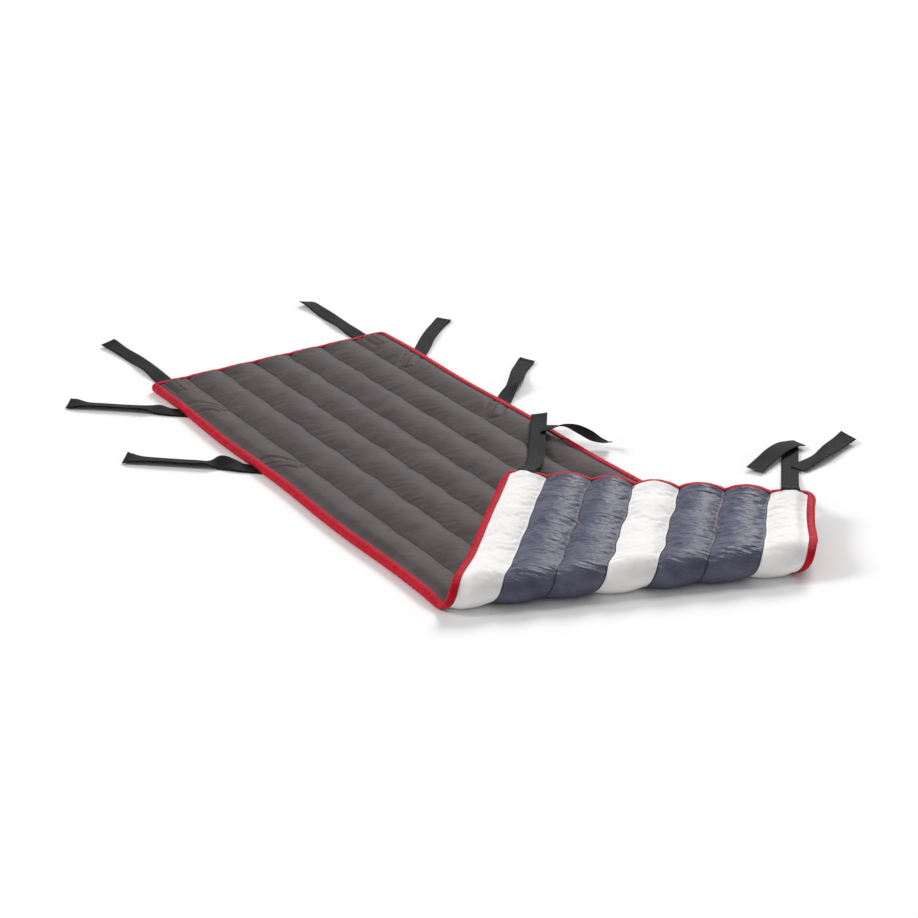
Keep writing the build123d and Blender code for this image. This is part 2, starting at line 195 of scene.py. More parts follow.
def sample(field, x, y):
    """Reads a simulated height field at any flat-laid place, smoothly."""
    rows, columns = field.shape
    u = np.clip((x + HALF) / WIDTH, 0, 1) * (columns - 1)
    v = np.clip((HEAD_Y - y) / LENGTH, 0, 1) * (rows - 1)
    iu, iv = np.minimum(u.astype(int), columns - 2), np.minimum(v.astype(int), rows - 2)
    wu, wv = cubic_weights(u - iu), cubic_weights(v - iv)
    total = np.zeros(x.shape)
    for a in range(4):
        for b in range(4):
            row = np.clip(iv + a - 1, 0, rows - 1)
            column = np.clip(iu + b - 1, 0, columns - 1)
            total += wv[..., a] * wu[..., b] * field[row, column]
    return total


# --- where the ties are sewn ----------------------------------------
SIDE = math.sqrt(0.5)
END_TAB, SIDE_TAB = 0.09, 0.112
# each tie's place on the mat's edge, its way out and the length that is sewn to the mat
SITES = {
    "head_left": ((-HALF + TIE_INSET, HEAD_Y), (0, 1), END_TAB),
    "head_right": ((HALF - TIE_INSET, HEAD_Y), (0, 1), END_TAB),
    "shoulder_left": ((-HALF, SHOULDER_Y), (-SIDE, SIDE), SIDE_TAB),
    "shoulder_right": ((HALF, SHOULDER_Y), (SIDE, SIDE), SIDE_TAB),
    "hip_left": ((-HALF, HIP_Y), (-SIDE, SIDE), SIDE_TAB),
    "hip_right": ((HALF, HIP_Y), (SIDE, SIDE), SIDE_TAB),
    "foot_left": ((-HALF + TIE_INSET, FOOT_Y), (0, -1), END_TAB),
    "foot_right": ((HALF - TIE_INSET, FOOT_Y), (0, -1), END_TAB),
}
BOXED_SITES = [site for name, site in SITES.items() if not name.startswith("foot")]
BOX_HALF = 0.0225  # half the width of a sewn outline
BOX_PAST = 0.012  # how far it reaches past the sewn webbing
BOX_START = 0.026  # from the mat's edge
BOX_SOFTNESS = 0.0045
BOX_DEPTH = 0.0042  # how far it pulls the lining down
TIE_LIFT = 0.0026


def tie_lift(x, y):
    """How far the hem rises where webbing passes under it."""
    near = np.min([np.hypot(x - p[0], y - p[1]) for p, _, _ in SITES.values()], axis=0)
    return TIE_LIFT * bump(near, 0.022, 0.045)


def box_stitch(x, y):
    """1 on the sewn outlines that hold the ties, on the inner cover."""
    out = np.zeros(x.shape)
    for (px, py), (ax, ay), tab in BOXED_SITES:
        into = -((x - px) * ax + (y - py) * ay)
        aside = np.abs((x - px) * ay - (y - py) * ax)
        outside = np.maximum(np.abs(into - tab / 2 - BOX_PAST) - tab / 2, aside - BOX_HALF)
        out = np.maximum(out, np.exp(-((outside / BOX_SOFTNESS) ** 2)))
    return out


# --- the two covers' heights ----------------------------------------


def edge_distances(x, y):
    """Distances from the nearer side and from the nearer end."""
    return HALF - np.abs(x), np.minimum(HEAD_Y - y, y - FOOT_Y)


def pleats(x, y, length):
    """Sharp folds that run in from each seam and die out before the middle of the channel."""
    across = np.abs(in_channel(x))
    off_seam = 1 - across
    seam_side = np.floor((x + HALF) / (PITCH / 2))
    lean = y + 0.01 * np.sin(seam_side * 2.1) * off_seam * PITCH / 0.02
    phase = 2 * math.pi * lean / length + 2.4 * np.sin(y * 17 + seam_side) + seam_side * 1.9
    ridge = 1 - np.abs(np.sin(phase / 2)) ** 0.8
    uneven = 0.55 + 0.45 * np.sin(y * 41 + seam_side * 3.3) * np.sin(y * 13 - seam_side)
    near = np.exp(-off_seam / 0.42) * (1 - across ** 8)
    return ridge * uneven * near


def cover_height(x, y, field, seam, hem, sign, crown, looseness, pleat):
    """Height of a cover laid flat; sign is 1 for the inner cover and -1 for the outer.

    looseness is how much of the simulated cloth shows beside a smooth crown, and pleat is the
    depth of the folds beside the seams with their spacing.
    """
    side, end = edge_distances(x, y)
    across = np.abs(in_channel(x))
    share = looseness * (0.45 + 0.55 * across)
    swell = (1 - share) * (1 - across ** CROWN_POWER) + share * sample(field, x, y) / SIM_CROWN
    swell = swell - pleat[0] / crown * pleats(x, y, pleat[1])
    taper = smooth(side, 0.011, 0.042) * smooth(end, 0.009, 0.03)
    edge = bump(np.minimum(side, end), 0.01, 0.034)
    return seam + (hem - seam) * edge + sign * crown * swell * taper


def inner_height(x, y):
    t = distance_past_fold(np.stack([x, y], -1))
    crown = CROWN * (1 - 0.25 * smooth(t, T_END, T_END + 0.05))
    z = cover_height(x, y, inner_field, SEAM_TOP, HEM_TOP, 1, crown,
                     looseness=0.26, pleat=(0.0038, 0.031))
    return z - BOX_DEPTH * box_stitch(x, y) * smooth(z, SEAM_TOP, SEAM_TOP + 0.008)


def outer_height(x, y):
    t = distance_past_fold(np.stack([x, y], -1))
    free = smooth(t, T_START - 0.05, T_START + 0.03)
    crown = CROWN * (0.85 + 0.15 * free)
    z = cover_height(x, y, outer_field, SEAM_BOTTOM, HEM_BOTTOM, -1, crown,
                     looseness=0.5, pleat=(0.0058, 0.029))
    lifted = z + tie_lift(x, y) * bump(np.minimum(*edge_distances(x, y)), 0.012, 0.03)
    # on the floor it is pressed flat
    return np.where(free < 1, np.maximum(lifted, 0.0004 - 0.02 * free), lifted)


# --- folding --------------------------------------------------------


def distance_past_fold(p):
    """t, the distance of a flat-laid point past the first crease."""
    return (p[..., 0] - F0[0]) * FN[0] + (p[..., 1] - F0[1]) * FN[1]


def y_at(t, x):
    """Where a line at distance t past the fold crosses x, laid flat."""
    return F0[1] + (t - (x - F0[0]) * FN[0]) / FN[1]


def warp(p):
    """Loosens the flat-laid mat: slack along its ends, and gentle waves."""
    x, y, z = p[..., 0], p[..., 1], p[..., 2]
    t = distance_past_fold(p)
    off_middle = np.abs(t - T_MIDDLE)
    across = in_channel(np.clip(x, -HALF + 1e-5, HALF - 1e-5))
    arch = 1 - across * across
    head = bump(HEAD_Y - y, 0.0, 0.075)
    foot = bump(y - FOOT_Y, 0.0, 0.075)
    flap = smooth(t, T_END, T_END + 0.12)
    rise = 0.0035 * arch * head - foot * (0.015 * arch - 0.007)
    wave = np.sin(x * 13 + 1.3) * np.sin(y * 9 + x * 4) * 0.0022 + np.sin(y * 23 - x * 9) * 0.0012
    # the seams wander, the right side swings out at the roll, and the main part's sides wave
    seams = 0.002 * np.sin(y * 31 + x * 17) + 0.0014 * np.sin(y * 67 - x * 29)
    aside = (seams * (1 - (x / HALF) ** 2)
             + 0.012 * smooth(x, 0.15, HALF) * bump(off_middle, 0.03, 0.26)
             + 0.003 * np.sin(y * 11 + 0.7) * smooth(np.abs(x), 0.2, HALF) * (1 - flap))
    # near the fold they shift along the fold, so that the parts still meet when they open
    along = aside * FN[0] / FN[1] * bump(off_middle, 0.08, 0.16)
    out = p.copy()
    out[..., 0] = x + aside
    out[..., 1] = y - 0.004 * arch * head + 0.006 * arch * foot - along
    out[..., 2] = z + rise + wave * flap
    return out


def roll_over(p):
    """Carries points of the flat layout to the CAD's rest pose."""
    t = distance_past_fold(p)
    u = (p[..., 0] - F0[0]) * FD[0] + (p[..., 1] - F0[1]) * FD[1]
    z = p[..., 2]
    off_middle = np.abs(t - T_MIDDLE)
    zc = z * (1 - ROLL_SQUEEZE * bump(off_middle, 0.03, 0.105))
    phi = np.clip((t - T_START) / ROLL_R, 0, FOLD_ANGLE)
    n = -ROLL_A + (ROLL_R - zc) * np.sin(phi)
    h = ROLL_R - (ROLL_R - zc) * np.cos(phi)
    c, s = math.cos(FOLD_ANGLE), math.sin(FOLD_ANGLE)
    past = t > T_END
    far = t - 3 * STRIP
    n = np.where(past, N4 + far * c - zc * s, n)
    h = np.where(past, Z4 + far * s + zc * c, h)
    ahead = t < T_START
    n = np.where(ahead, t, n) + ROLL_BULGE * bump(off_middle, 0.0, 0.045)
    h = np.where(ahead, zc, h)
    out = np.empty_like(p)
    out[..., 0] = F0[0] + FD[0] * u + FN[0] * n
    out[..., 1] = F0[1] + FD[1] * u + FN[1] * n
    out[..., 2] = h
    return settle(out, t)


def settle(p, t):
    """Lets the folded-over end sink beside the roll, while its loose end stands a little proud."""
    far = np.clip(t - T_END, 0, None)
    sink = np.clip(0.008 - 0.026 * far, 0, None) * smooth(far, 0.0, 0.13)
    lift = 0.011 * smooth(far, 0.1, 0.5)
    out = p.copy()
    out[..., 2] = np.maximum(out[..., 2] + (lift - sink), FLOOR_GAP)
    return out


def place(p):
    """Carries points of the flat section to where they lie at rest."""
    return roll_over(warp(p))


# --- building meshes ------------------------------------------------


def unit(vectors):
    return vectors / np.maximum(np.linalg.norm(vectors, axis=-1, keepdims=True), 1e-12)


def add_piece(name, mesh, material, uv):
    """An object from a mesh. uv holds a coordinate in metres for each point."""
    corners = np.empty(len(mesh.loops), np.int32)
    mesh.loops.foreach_get("vertex_index", corners)
    layer = mesh.uv_layers.new(name="metres")
    layer.data.foreach_set("uv", uv.reshape(-1, 2)[corners].astype(np.float32).ravel())
    mesh.materials.append(material)
    piece = bpy.data.objects.new(name, mesh)
    bpy.context.scene.collection.objects.link(piece)
    return piece


def build_mesh(name, points, faces, material, uv, normals=None):
    """A smooth piece from plain arrays."""
    mesh = bpy.data.meshes.new(name)
    mesh.from_pydata(points.reshape(-1, 3).tolist(), [], faces.tolist())
    mesh.polygons.foreach_set("use_smooth", [True] * len(mesh.polygons))
    piece = add_piece(name, mesh, material, uv)
    if normals is not None:
        mesh.normals_split_custom_set_from_vertices(normals.reshape(-1, 3).tolist())
    return piece


def grid_faces(rows, columns, flip=False, closed=False):
    """Quads over a grid of points; closed joins its last column to its first."""
    index = np.arange(rows * columns).reshape(rows, columns)
    if closed:
        index = np.concatenate([index, index[:, :1]], 1)
    quads = np.stack([index[:-1, :-1], index[1:, :-1], index[1:, 1:], index[:-1, 1:]], -1)
    return quads.reshape(-1, 4)[:, ::-1 if flip else 1]


def join_to_part(piece, part):
    """Makes a main or flap piece follow its body; a piece of the fold only has its transform baked.
    """
    if part in ("main", "flap"):
        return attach(piece, "mat" if part == "main" else "flap")
    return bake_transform(piece)


def row_y(part, r, x):
    """Laid flat, where a part's row crosses x; r runs from 0 to 1 towards the foot."""
    number = PARTS.index(part)
    first = HEAD_Y if part == "main" else y_at(SPLITS[number - 1], x)
    last = FOOT_Y if part == "flap" else y_at(SPLITS[number], x)
    return first + (last - first) * r


# --- materials ------------------------------------------------------


class Shader:
    """A principled material with a few short-hands for procedural cloth."""

    def __init__(self, name, colour, roughness, sheen=0.0, specular=0.4, on_cad=False):
        self.material = bpy.data.materials.new(name)
        self.material.use_nodes = True
        self.nodes = self.material.node_tree.nodes
        self.links = self.material.node_tree.links
        self.surface = self.nodes["Principled BSDF"]
        self.set("Base Color", (*colour, 1))
        self.set("Roughness", roughness)
        self.set("Specular IOR Level", specular)
        self.set("Sheen Weight", sheen)
        self.set("Sheen Roughness", 0.5)
        if on_cad:
            self.place = self.nodes.new("ShaderNodeTexCoord").outputs["Object"]
        else:
            self.place = self.nodes.new("ShaderNodeUVMap").outputs["UV"]
            self.place.node.uv_map = "metres"
        self.height = None

    def set(self, socket, value):
        self.surface.inputs[socket].default_value = value

    def node(self, kind, inputs, **settings):
        node = self.nodes.new("ShaderNode" + kind)
        for key, value in settings.items():
            setattr(node, key, value)
        for key, value in inputs.items():
            if isinstance(value, bpy.types.NodeSocket):
                self.links.new(value, node.inputs[key])
            else:
                node.inputs[key].default_value = value
        return node

    def noise(self, scale, detail=3.0, stretch=(1, 1, 1)):
        moved = self.node("Mapping", {"Vector": self.place, "Scale": stretch}).outputs[0]
        return self.node("TexNoise", {"Vector": moved, "Scale": scale, "Detail": detail}).outputs[0]

    def stripes(self, per_metre, direction="X", angle=0.0):
        """Threads side by side. A wave texture repeats every pi / 10 of its scaled place."""
        moved = self.node("Mapping", {"Vector": self.place, "Rotation": (0, 0, angle)}).outputs[0]
        return self.node("TexWave", {"Vector": moved, "Scale": per_metre * math.pi / 10},
                         wave_type="BANDS", bands_direction=direction).outputs[1]

    def maths(self, operation, a, b):
        return self.node("Math", {0: a, 1: b}, operation=operation).outputs[0]

    def weave(self, per_metre, angle=0.0):
        return self.maths("MULTIPLY", self.stripes(per_metre, "X", angle),
                          self.stripes(per_metre, "Y", angle))

    def ramp(self, value, low, high, low_colour, high_colour):
        node = self.node("ValToRGB", {"Fac": value})
        for element, position, colour in zip(node.color_ramp.elements, (low, high),
                                             (low_colour, high_colour)):
            element.position = position
            element.color = (*colour, 1)
        return node.outputs[0]

    def seam_shade_mask(self, width):
        """Mask of the painted shade in each seam's groove: 1 on the cloth at a seam, 0 farther than
        width from it.
        """
        across = self.node("SeparateXYZ", {"Vector": self.place}).outputs[0]
        place = self.maths("MULTIPLY", self.maths("ADD", across, HALF), 1 / PITCH)
        seam = self.maths("ROUND", place, 0)
        off = self.maths("ABSOLUTE", self.maths("SUBTRACT", place, seam), 0)
        return self.node("MapRange", {"Value": off, "From Min": 0.4 * width / PITCH,
                                      "From Max": width / PITCH,
                                      "To Min": 1.0, "To Max": 0.0}).outputs[0]

    def colour(self, socket, seam=None, seam_shade_width=0.003):
        # seam is the colour of the painted shade laid along each seam's groove
        if seam is not None:
            socket = self.node("MixRGB", {"Fac": self.seam_shade_mask(seam_shade_width), "Color1": socket,
                                          "Color2": (*seam, 1)}).outputs[0]
        self.links.new(socket, self.surface.inputs["Base Color"])
        return self

    def bump(self, height, distance, strength=1.0):
        inputs = {"Height": height, "Distance": distance, "Strength": strength}
        if self.height is not None:
            inputs["Normal"] = self.height
        self.height = self.node("Bump", inputs).outputs[0]
        self.links.new(self.height, self.surface.inputs["Normal"])
        return self


def lining_material():
    """Matt grey-brown woven cloth, a little mottled."""
    cloth = Shader("grey_lining", (0.115, 0.098, 0.098), 0.66, sheen=0.04, specular=0.22)
    mottle = cloth.ramp(cloth.noise(14, 6), 0.35, 0.68,
                        (0.064, 0.05, 0.052), (0.089, 0.071, 0.074))
    # painted shade: the lining darkens to near black in the groove along each seam
    cloth.colour(mottle, seam=(0.01, 0.007, 0.007), seam_shade_width=0.0036)
    cloth.bump(cloth.noise(60, 5, (0.5, 1.5, 1)), distance=0.0012, strength=0.5)
    return cloth.bump(cloth.weave(1400), distance=0.0001, strength=0.5).material


def navy_material():
    """Satin coated shell: tight shine along its creases."""
    cloth = Shader("navy_shell", (0.066, 0.074, 0.135), 0.45, sheen=0.02, specular=0.3)
    mottle = cloth.ramp(cloth.noise(20, 6), 0.32, 0.7,
                        (0.062, 0.064, 0.108), (0.122, 0.124, 0.182))
    # painted shade: the navy darkens in the groove along each seam
    cloth.colour(mottle, seam=(0.01, 0.01, 0.022), seam_shade_width=0.0026)
    cloth.bump(cloth.noise(70, 3, (0.3, 1.3, 1)), distance=0.0075, strength=0.95)
    return cloth.bump(cloth.weave(1700, 0.6), distance=0.00008, strength=0.5).material


def white_material():
    """Off-white ripstop: a faint grid of thicker threads."""
    cloth = Shader("white_shell", (0.8, 0.78, 0.765), 0.58, sheen=0.05, specular=0.3)
    mottle = cloth.ramp(cloth.noise(11, 5), 0.3, 0.7, (0.86, 0.84, 0.83), (0.93, 0.915, 0.905))
    # painted shade: the white greys in the groove along each seam
    cloth.colour(mottle, seam=(0.1, 0.09, 0.1), seam_shade_width=0.0016)
    grid = cloth.maths("MAXIMUM", cloth.stripes(200, "X"), cloth.stripes(200, "Y"))
    cloth.bump(cloth.ramp(grid, 0.8, 0.98, (0, 0, 0), (1, 1, 1)), distance=0.00025, strength=0.6)
    cloth.bump(cloth.noise(55, 5, (0.7, 1.2, 1)), distance=0.0012, strength=0.45)
    return cloth.bump(cloth.weave(1500), distance=0.00008, strength=0.5).material


def binding_material():
    """Crimson tape, ribbed across its width."""
    tape = Shader("red_binding", (0.5, 0.006, 0.032), 0.55, specular=0.15)
    tape.colour(tape.ramp(tape.noise(45, 5), 0.3, 0.72,
                          (0.43, 0.001, 0.014), (0.61, 0.003, 0.026)))
    tape.bump(tape.stripes(900, "X"), distance=0.00025, strength=0.7)
    return tape.bump(tape.noise(90, 4), distance=0.0008, strength=0.4).material


def webbing_material(name="black_webbing", on_cad=False):
    """Black webbing: ribs along its length and a herringbone across it."""
    web = Shader(name, (0.0125, 0.0125, 0.014), 0.66, specular=0.14, on_cad=on_cad)
    web.colour(web.ramp(web.noise(70, 5), 0.3, 0.75,
                        (0.0065, 0.0065, 0.0072), (0.013, 0.013, 0.0145)))
    web.bump(web.stripes(330, "Y"), distance=0.0004, strength=0.7)
    herringbone = web.maths("ADD", web.stripes(620, "X", 0.7), web.stripes(620, "X", -0.7))
    return web.bump(herringbone, distance=0.00018, strength=0.6).material


def thread_material(name, colour):
    """Spun thread."""
    thread = Shader(name, colour, 0.5, sheen=0.3)
    dark = tuple(0.7 * c for c in colour)
    thread.colour(thread.ramp(thread.noise(300, 3), 0.35, 0.65, dark, colour))
    return thread.bump(thread.stripes(2600, "X", 0.6), distance=0.0001, strength=0.8).material


LINING = lining_material()
NAVY = navy_material()
WHITE = white_material()
RED = binding_material()
WEBBING = webbing_material()
DARK_THREAD = thread_material("dark_thread", (0.022, 0.016, 0.016))
PLUM_THREAD = thread_material("plum_thread", (0.16, 0.035, 0.075))
NAVY_THREAD = thread_material("navy_thread", (0.028, 0.026, 0.05))
RED_THREAD = thread_material("red_thread", (0.32, 0.006, 0.022))

# --- the quilt ------------------------------------------------------
inner_field = simulate_cover(seed=3, growth=0.05, pressure=0.9, bending=0.3, stiffness=7)
outer_field = simulate_cover(seed=8, growth=0.075, pressure=2.0, bending=0.08, stiffness=15)
inner_field *= SIM_CROWN / np.percentile(inner_field, 96)
outer_field *= SIM_CROWN / np.percentile(outer_field, 96)
OUTLINE = HALF - COVER_INSET


def round_corner(x, y):
    """Draws the points of the flat outline in to the mat's rounded corners."""
    cx, cy = HALF - CORNER, LENGTH / 2 - CORNER
    dx = np.clip(np.abs(x) - cx, 0, None)
    dy = np.clip(np.abs(y - MIDDLE_Y) - cy, 0, None)
    scale = np.minimum(1, (CORNER - CORNER_INSET) / np.maximum(np.hypot(dx, dy), 1e-9))
    scale = np.where((dx > 0) & (dy > 0), scale, 1)
    new_x = np.where(dx > 0, np.sign(x) * (cx + dx * scale), x)
    new_y = np.where(dy > 0, MIDDLE_Y + np.sign(y - MIDDLE_Y) * (cy + dy * scale), y)
    return new_x, new_y


def quilt_grid():
    """Flat places of the whole quilt's grid, and the first and last row of each part."""
    x = np.linspace(-OUTLINE, OUTLINE, CHANNELS * CELLS + 1)
    rows, spans = [], []
    for part, count in zip(PARTS, ROWS):
        first = 0 if part == "main" else 1
        begin = max(sum(len(r) for r in rows) - 1, 0)
        steps = np.arange(first, count + 1) / count
        rows.append(row_y(part, steps[:, None], x[None, :]))
        spans.append((begin, begin + count))
    y = np.concatenate(rows)
    x = np.broadcast_to(x, y.shape)
    # both ends are drawn in as the sides are
    inset = (LENGTH / 2 - COVER_INSET) / (LENGTH / 2)
    at_end = np.abs(y - MIDDLE_Y) > LENGTH / 2 - 0.01
    y = np.where(at_end, MIDDLE_Y + (y - MIDDLE_Y) * inset, y)
    return *round_corner(x, y), spans


def surface_normals(points):
    return unit(np.cross(np.gradient(points, axis=0), np.gradient(points, axis=1)))


GRID_X, GRID_Y, SPANS = quilt_grid()
UV = np.stack([GRID_X, GRID_Y], -1)
# the first and the last channel of each panel
PANELS = {"white_left": (0, 0), "navy_left": (1, 2), "white_centre": (3, 3),
          "navy_right": (4, 5), "white_right": (6, 6)}


def build_inner_cover():
    points = place(np.stack([GRID_X, GRID_Y, inner_height(GRID_X, GRID_Y)], -1))
    normals = surface_normals(points)
    for part, (first, last) in zip(PARTS, SPANS):
        rows = slice(first, last + 1)
        faces = grid_faces(last - first + 1, GRID_X.shape[1])
        piece = build_mesh(f"{part}_inner_cover_cloth", points[rows], faces, LINING,
                           UV[rows], normals[rows])
        join_to_part(piece, part)
        if part in ("main", "flap"):
            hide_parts(f"{part}_inner_cover", f"{part}_wadding")
        elif part != "fold_4":
            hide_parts(part.replace("fold", "fold_strip"))


def build_outer_cover():
    points = place(np.stack([GRID_X, GRID_Y, outer_height(GRID_X, GRID_Y)], -1))
    normals = -surface_normals(points)
    for part, (first, last) in zip(PARTS, SPANS):
        for panel, (low, high) in PANELS.items():
            rows, columns = slice(first, last + 1), slice(low * CELLS, (high + 1) * CELLS + 1)
            white = panel.startswith("white")
            faces = grid_faces(last - first + 1, (high - low + 1) * CELLS + 1, flip=True)
            piece = build_mesh(f"{part}_{panel}_cloth", points[rows, columns], faces,
                               WHITE if white else NAVY, UV[rows, columns], normals[rows, columns])
            join_to_part(piece, part)
            if part in ("main", "flap"):
                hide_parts(f"{part}_{panel}")


# --- the binding ----------------------------------------------------


def binding_profile():
    """The folded tape's section: how far in from the edge, and its share of the hem's height.

    The share runs from 1 on the inner cover's side to -1 on the outer's. The third number is
    how far the point stands off the hem.
    """
    outside = [(BINDING_LEG * share, 1, off) for share, off in
               ((1, 0.0016), (0.75, 0.0021), (0.5, 0.0023), (0.25, 0.0019))]
    for step in range(9):
        turn = math.pi / 2 - math.pi * step / 8
        outside.append((0.0035 - 0.0048 * math.cos(turn), math.sin(turn), 0.0015))
    outside += [(w, -s, o) for w, s, o in outside[3::-1]]
    inside = [(w + (0.0012 if w < 0.004 else 0), s, o - BINDING) for w, s, o in outside]
    return outside + inside[::-1]


def binding_line(part):
    """Runs of stations along the mat's edge in one part.

    A station is (kind, sign, value). Its value is a share of the part's rows on a side, degrees
    round a corner and a place across on an end; its sign tells left from right.
    """
    count = ROWS[PARTS.index(part)]
    order = [r / count for r in range(count + 1)]
    if part not in ("main", "flap"):
        return [[("side", sign, r) for r in order] for sign in (-1, 1)]
    if part == "main":
        order = [1 - r for r in order]
    keep = [r for r in order if row_clear(part, r)]
    turns = np.linspace(0, 90, 9)
    across = np.linspace(-HALF + CORNER, HALF - CORNER, CHANNELS * CELLS)[1:-1]
    left = [("side", -1, r) for r in keep] + [("corner", -1, a) for a in turns]
    right = [("corner", 1, a) for a in turns[::-1]] + [("side", 1, r) for r in keep[::-1]]
    return [left + [("end", 0, x) for x in across] + right]


def row_clear(part, r):
    """Whether a row meets both sides clear of the corners."""
    end = HEAD_Y if part == "main" else FOOT_Y
    return min(abs(row_y(part, r, x) - end) for x in (-HALF, HALF)) > CORNER + 0.001


def edge_place(part, station, w):
    """The flat place that lies w in from the edge at a station."""
    kind, sign, value = station
    end = HEAD_Y if part == "main" else FOOT_Y
    way = 1 if part == "main" else -1
    if kind == "side":
        x = sign * (HALF - w)
        return x, row_y(part, value, x)
    if kind == "end":
        return value, end - way * w
    turn, reach = math.radians(value), max(CORNER - w, 0.0004)
    x = sign * (HALF - CORNER + reach * math.cos(turn))
    return x, end - way * (CORNER - reach * math.sin(turn))


def edge_height(x, y, share, off):
    """Height on the binding: share 1 lies on the inner cover and -1 under the outer."""
    low = HEM_BOTTOM + tie_lift(x, y)
    pucker = 0.0004 * np.sin(x * 610 + y * 530) + 0.0003 * np.sin(x * 230 - y * 310)
    middle, half = (HEM_TOP + low) / 2, (HEM_TOP - low) / 2
    return middle + share * (half + off) + share * pucker


def build_binding():
    widths, shares, offs = np.array(binding_profile()).T
    around = np.cumsum(np.hypot(np.diff(widths, prepend=widths[0]), 0.001))
    for part in PARTS:
        points, uv, faces, start = [], [], [], 0
        for run in binding_line(part):
            flat = np.array([[edge_place(part, station, w) for w in widths] for station in run])
            x, y = flat[..., 0], flat[..., 1]
            points.append(np.stack([x, y, edge_height(x, y, shares, offs)], -1))
            length = np.cumsum(np.hypot(*np.diff(flat[:, 0], axis=0, prepend=flat[:1, 0]).T))
            uv.append(np.stack([np.broadcast_to(length[:, None], x.shape),
                                np.broadcast_to(around, x.shape)], -1))
            on_right = run[0][1] > 0
            inside_out = part != "flap" and not (part.startswith("fold") and on_right)
            faces.append(grid_faces(*x.shape, flip=inside_out, closed=True) + start)
            start += x.size
        shape = place(np.concatenate([p.reshape(-1, 3) for p in points]))
        piece = build_mesh(f"{part}_binding_tape", shape, np.concatenate(faces), RED,
                           np.concatenate([u.reshape(-1, 2) for u in uv]))
        join_to_part(piece, part)
        if part in ("main", "flap"):
            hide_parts(*[f"{part}_binding_{edge}" for edge in ("left", "right", "end")])
        elif part != "fold_4":
            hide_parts(part.replace("fold", "fold_binding"))


# --- stitching ------------------------------------------------------
STITCH, STITCH_PITCH = 0.0034, 0.0045  # a stitch's length, and from one to the next
SURFACE_GAP = 0.0001  # between the cloth and a seam's thread
BOX_THREAD = 0.003  # as wide as the doubled rows of thread on the outlines


def stitches(starts, ends, normals, width=0.0014, height=0.0007):
    """Small raised dashes from starts to ends."""
    along = ends - starts
    aside = np.cross(normals, along)
    aside *= width / 2 / np.maximum(np.linalg.norm(aside, axis=-1, keepdims=True), 1e-9)
    up = normals * height
    quarter = along * 0.2
    points = np.stack([
        starts - aside, starts + aside,
        starts + quarter + aside + up, starts + quarter - aside + up,
        ends - aside, ends + aside,
        ends - quarter + aside + up, ends - quarter - aside + up,
    ], 1)
    box = np.array([[0, 3, 2, 1], [3, 7, 6, 2], [4, 5, 6, 7],
                    [0, 4, 7, 3], [1, 2, 6, 5], [0, 1, 5, 4]])
    faces = (np.arange(len(points))[:, None, None] * 8 + box).reshape(-1, 4)
    uv = np.stack([points[..., 0], points[..., 1]], -1)
    return points.reshape(-1, 3), faces, uv.reshape(-1, 2)


def join_stitches(groups):
    """One mesh of several groups of stitches."""
    points, faces, uv, start = [], [], [], 0
    for p, f, u in groups:
        points.append(p)
        faces.append(f + start)
        uv.append(u)
        start += len(p)
    return np.concatenate(points), np.concatenate(faces), np.concatenate(uv)


def stitched_line(x0, y0, x1, y1, height, sign, width=0.0014):
    """Stitches along flat-laid lines, on the cover that height describes."""
    starts, ends = [place(np.stack([x, y, height(x, y) + sign * SURFACE_GAP], -1))
                    for x, y in ((x0, y0), (x1, y1))]
    raised = place(np.stack([x0, y0, height(x0, y0) + sign * 0.002], -1))
    return stitches(starts, ends, unit(raised - starts), width)


def part_range(part, x):
    """Laid flat, where a part starts and ends at x, clear of the binding."""
    top, bottom = row_y(part, 0, x), row_y(part, 1, x)
    return min(top, HEAD_Y - BINDING_LEG), max(bottom, FOOT_Y + BINDING_LEG)


def seam_stitches(part, seams, height, sign):
    groups = []
    for seam in seams:
        x = -HALF + seam * PITCH
        top, bottom = part_range(part, x)
        numbers = np.arange(math.ceil((HEAD_Y - top) / STITCH_PITCH),
                            (HEAD_Y - bottom) / STITCH_PITCH - 1)
        y = HEAD_Y - numbers * STITCH_PITCH
        x = np.full(y.shape, x)
        groups.append(stitched_line(x, y, x, y - STITCH, height, sign))
    return join_stitches(groups)


def build_seams():
    looks = [("inner", range(1, CHANNELS), inner_height, 1, DARK_THREAD),
             ("pair", (2, 5), outer_height, -1, PLUM_THREAD),
             ("border", (1, 3, 4, 6), outer_height, -1, NAVY_THREAD)]
    for part in PARTS:
        for name, seams, height, sign, material in looks:
            points, faces, uv = seam_stitches(part, seams, height, sign)
            piece = build_mesh(f"{part}_{name}_seams", points, faces, material, uv)
            join_to_part(piece, part)
            if name == "inner" and part in ("main", "flap"):
                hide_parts(f"{part}_quilting")


def build_box_stitching():
    """The sewn outlines on the inner cover, through which the ties are held."""
    groups = []
    for (px, py), (ax, ay), tab in BOXED_SITES:
        near, far, half = BOX_START, tab + BOX_PAST, BOX_HALF
        lines = [((near, -half), (far, -half)), ((far, -half), (far, half)),
                 ((far, half), (near, half)), ((near, 0.0), (far, 0.0))]
        for (i0, s0), (i1, s1) in lines:
            count = int(math.hypot(i1 - i0, s1 - s0) / STITCH_PITCH)
            f0 = np.arange(count) / count
            f1 = f0 + 0.75 / count
            ends = []
            for f in (f0, f1):
                into, aside = i0 + (i1 - i0) * f, s0 + (s1 - s0) * f
                ends += [px - ax * into + ay * aside, py - ay * into - ax * aside]
            groups.append(stitched_line(*ends, inner_height, 1, BOX_THREAD))
    points, faces, uv = join_stitches(groups)
    piece = build_mesh("tie_box_stitching", points, faces, DARK_THREAD, uv)
    join_to_part(piece, "main")


def binding_points(flat, far, at, share, off):
    """Points on the binding, at distances along a flat line whose corners lie at far."""
    x, y = np.interp(at, far, flat[:, 0]), np.interp(at, far, flat[:, 1])
    return place(np.stack([x, y, edge_height(x, y, share, off)], -1))


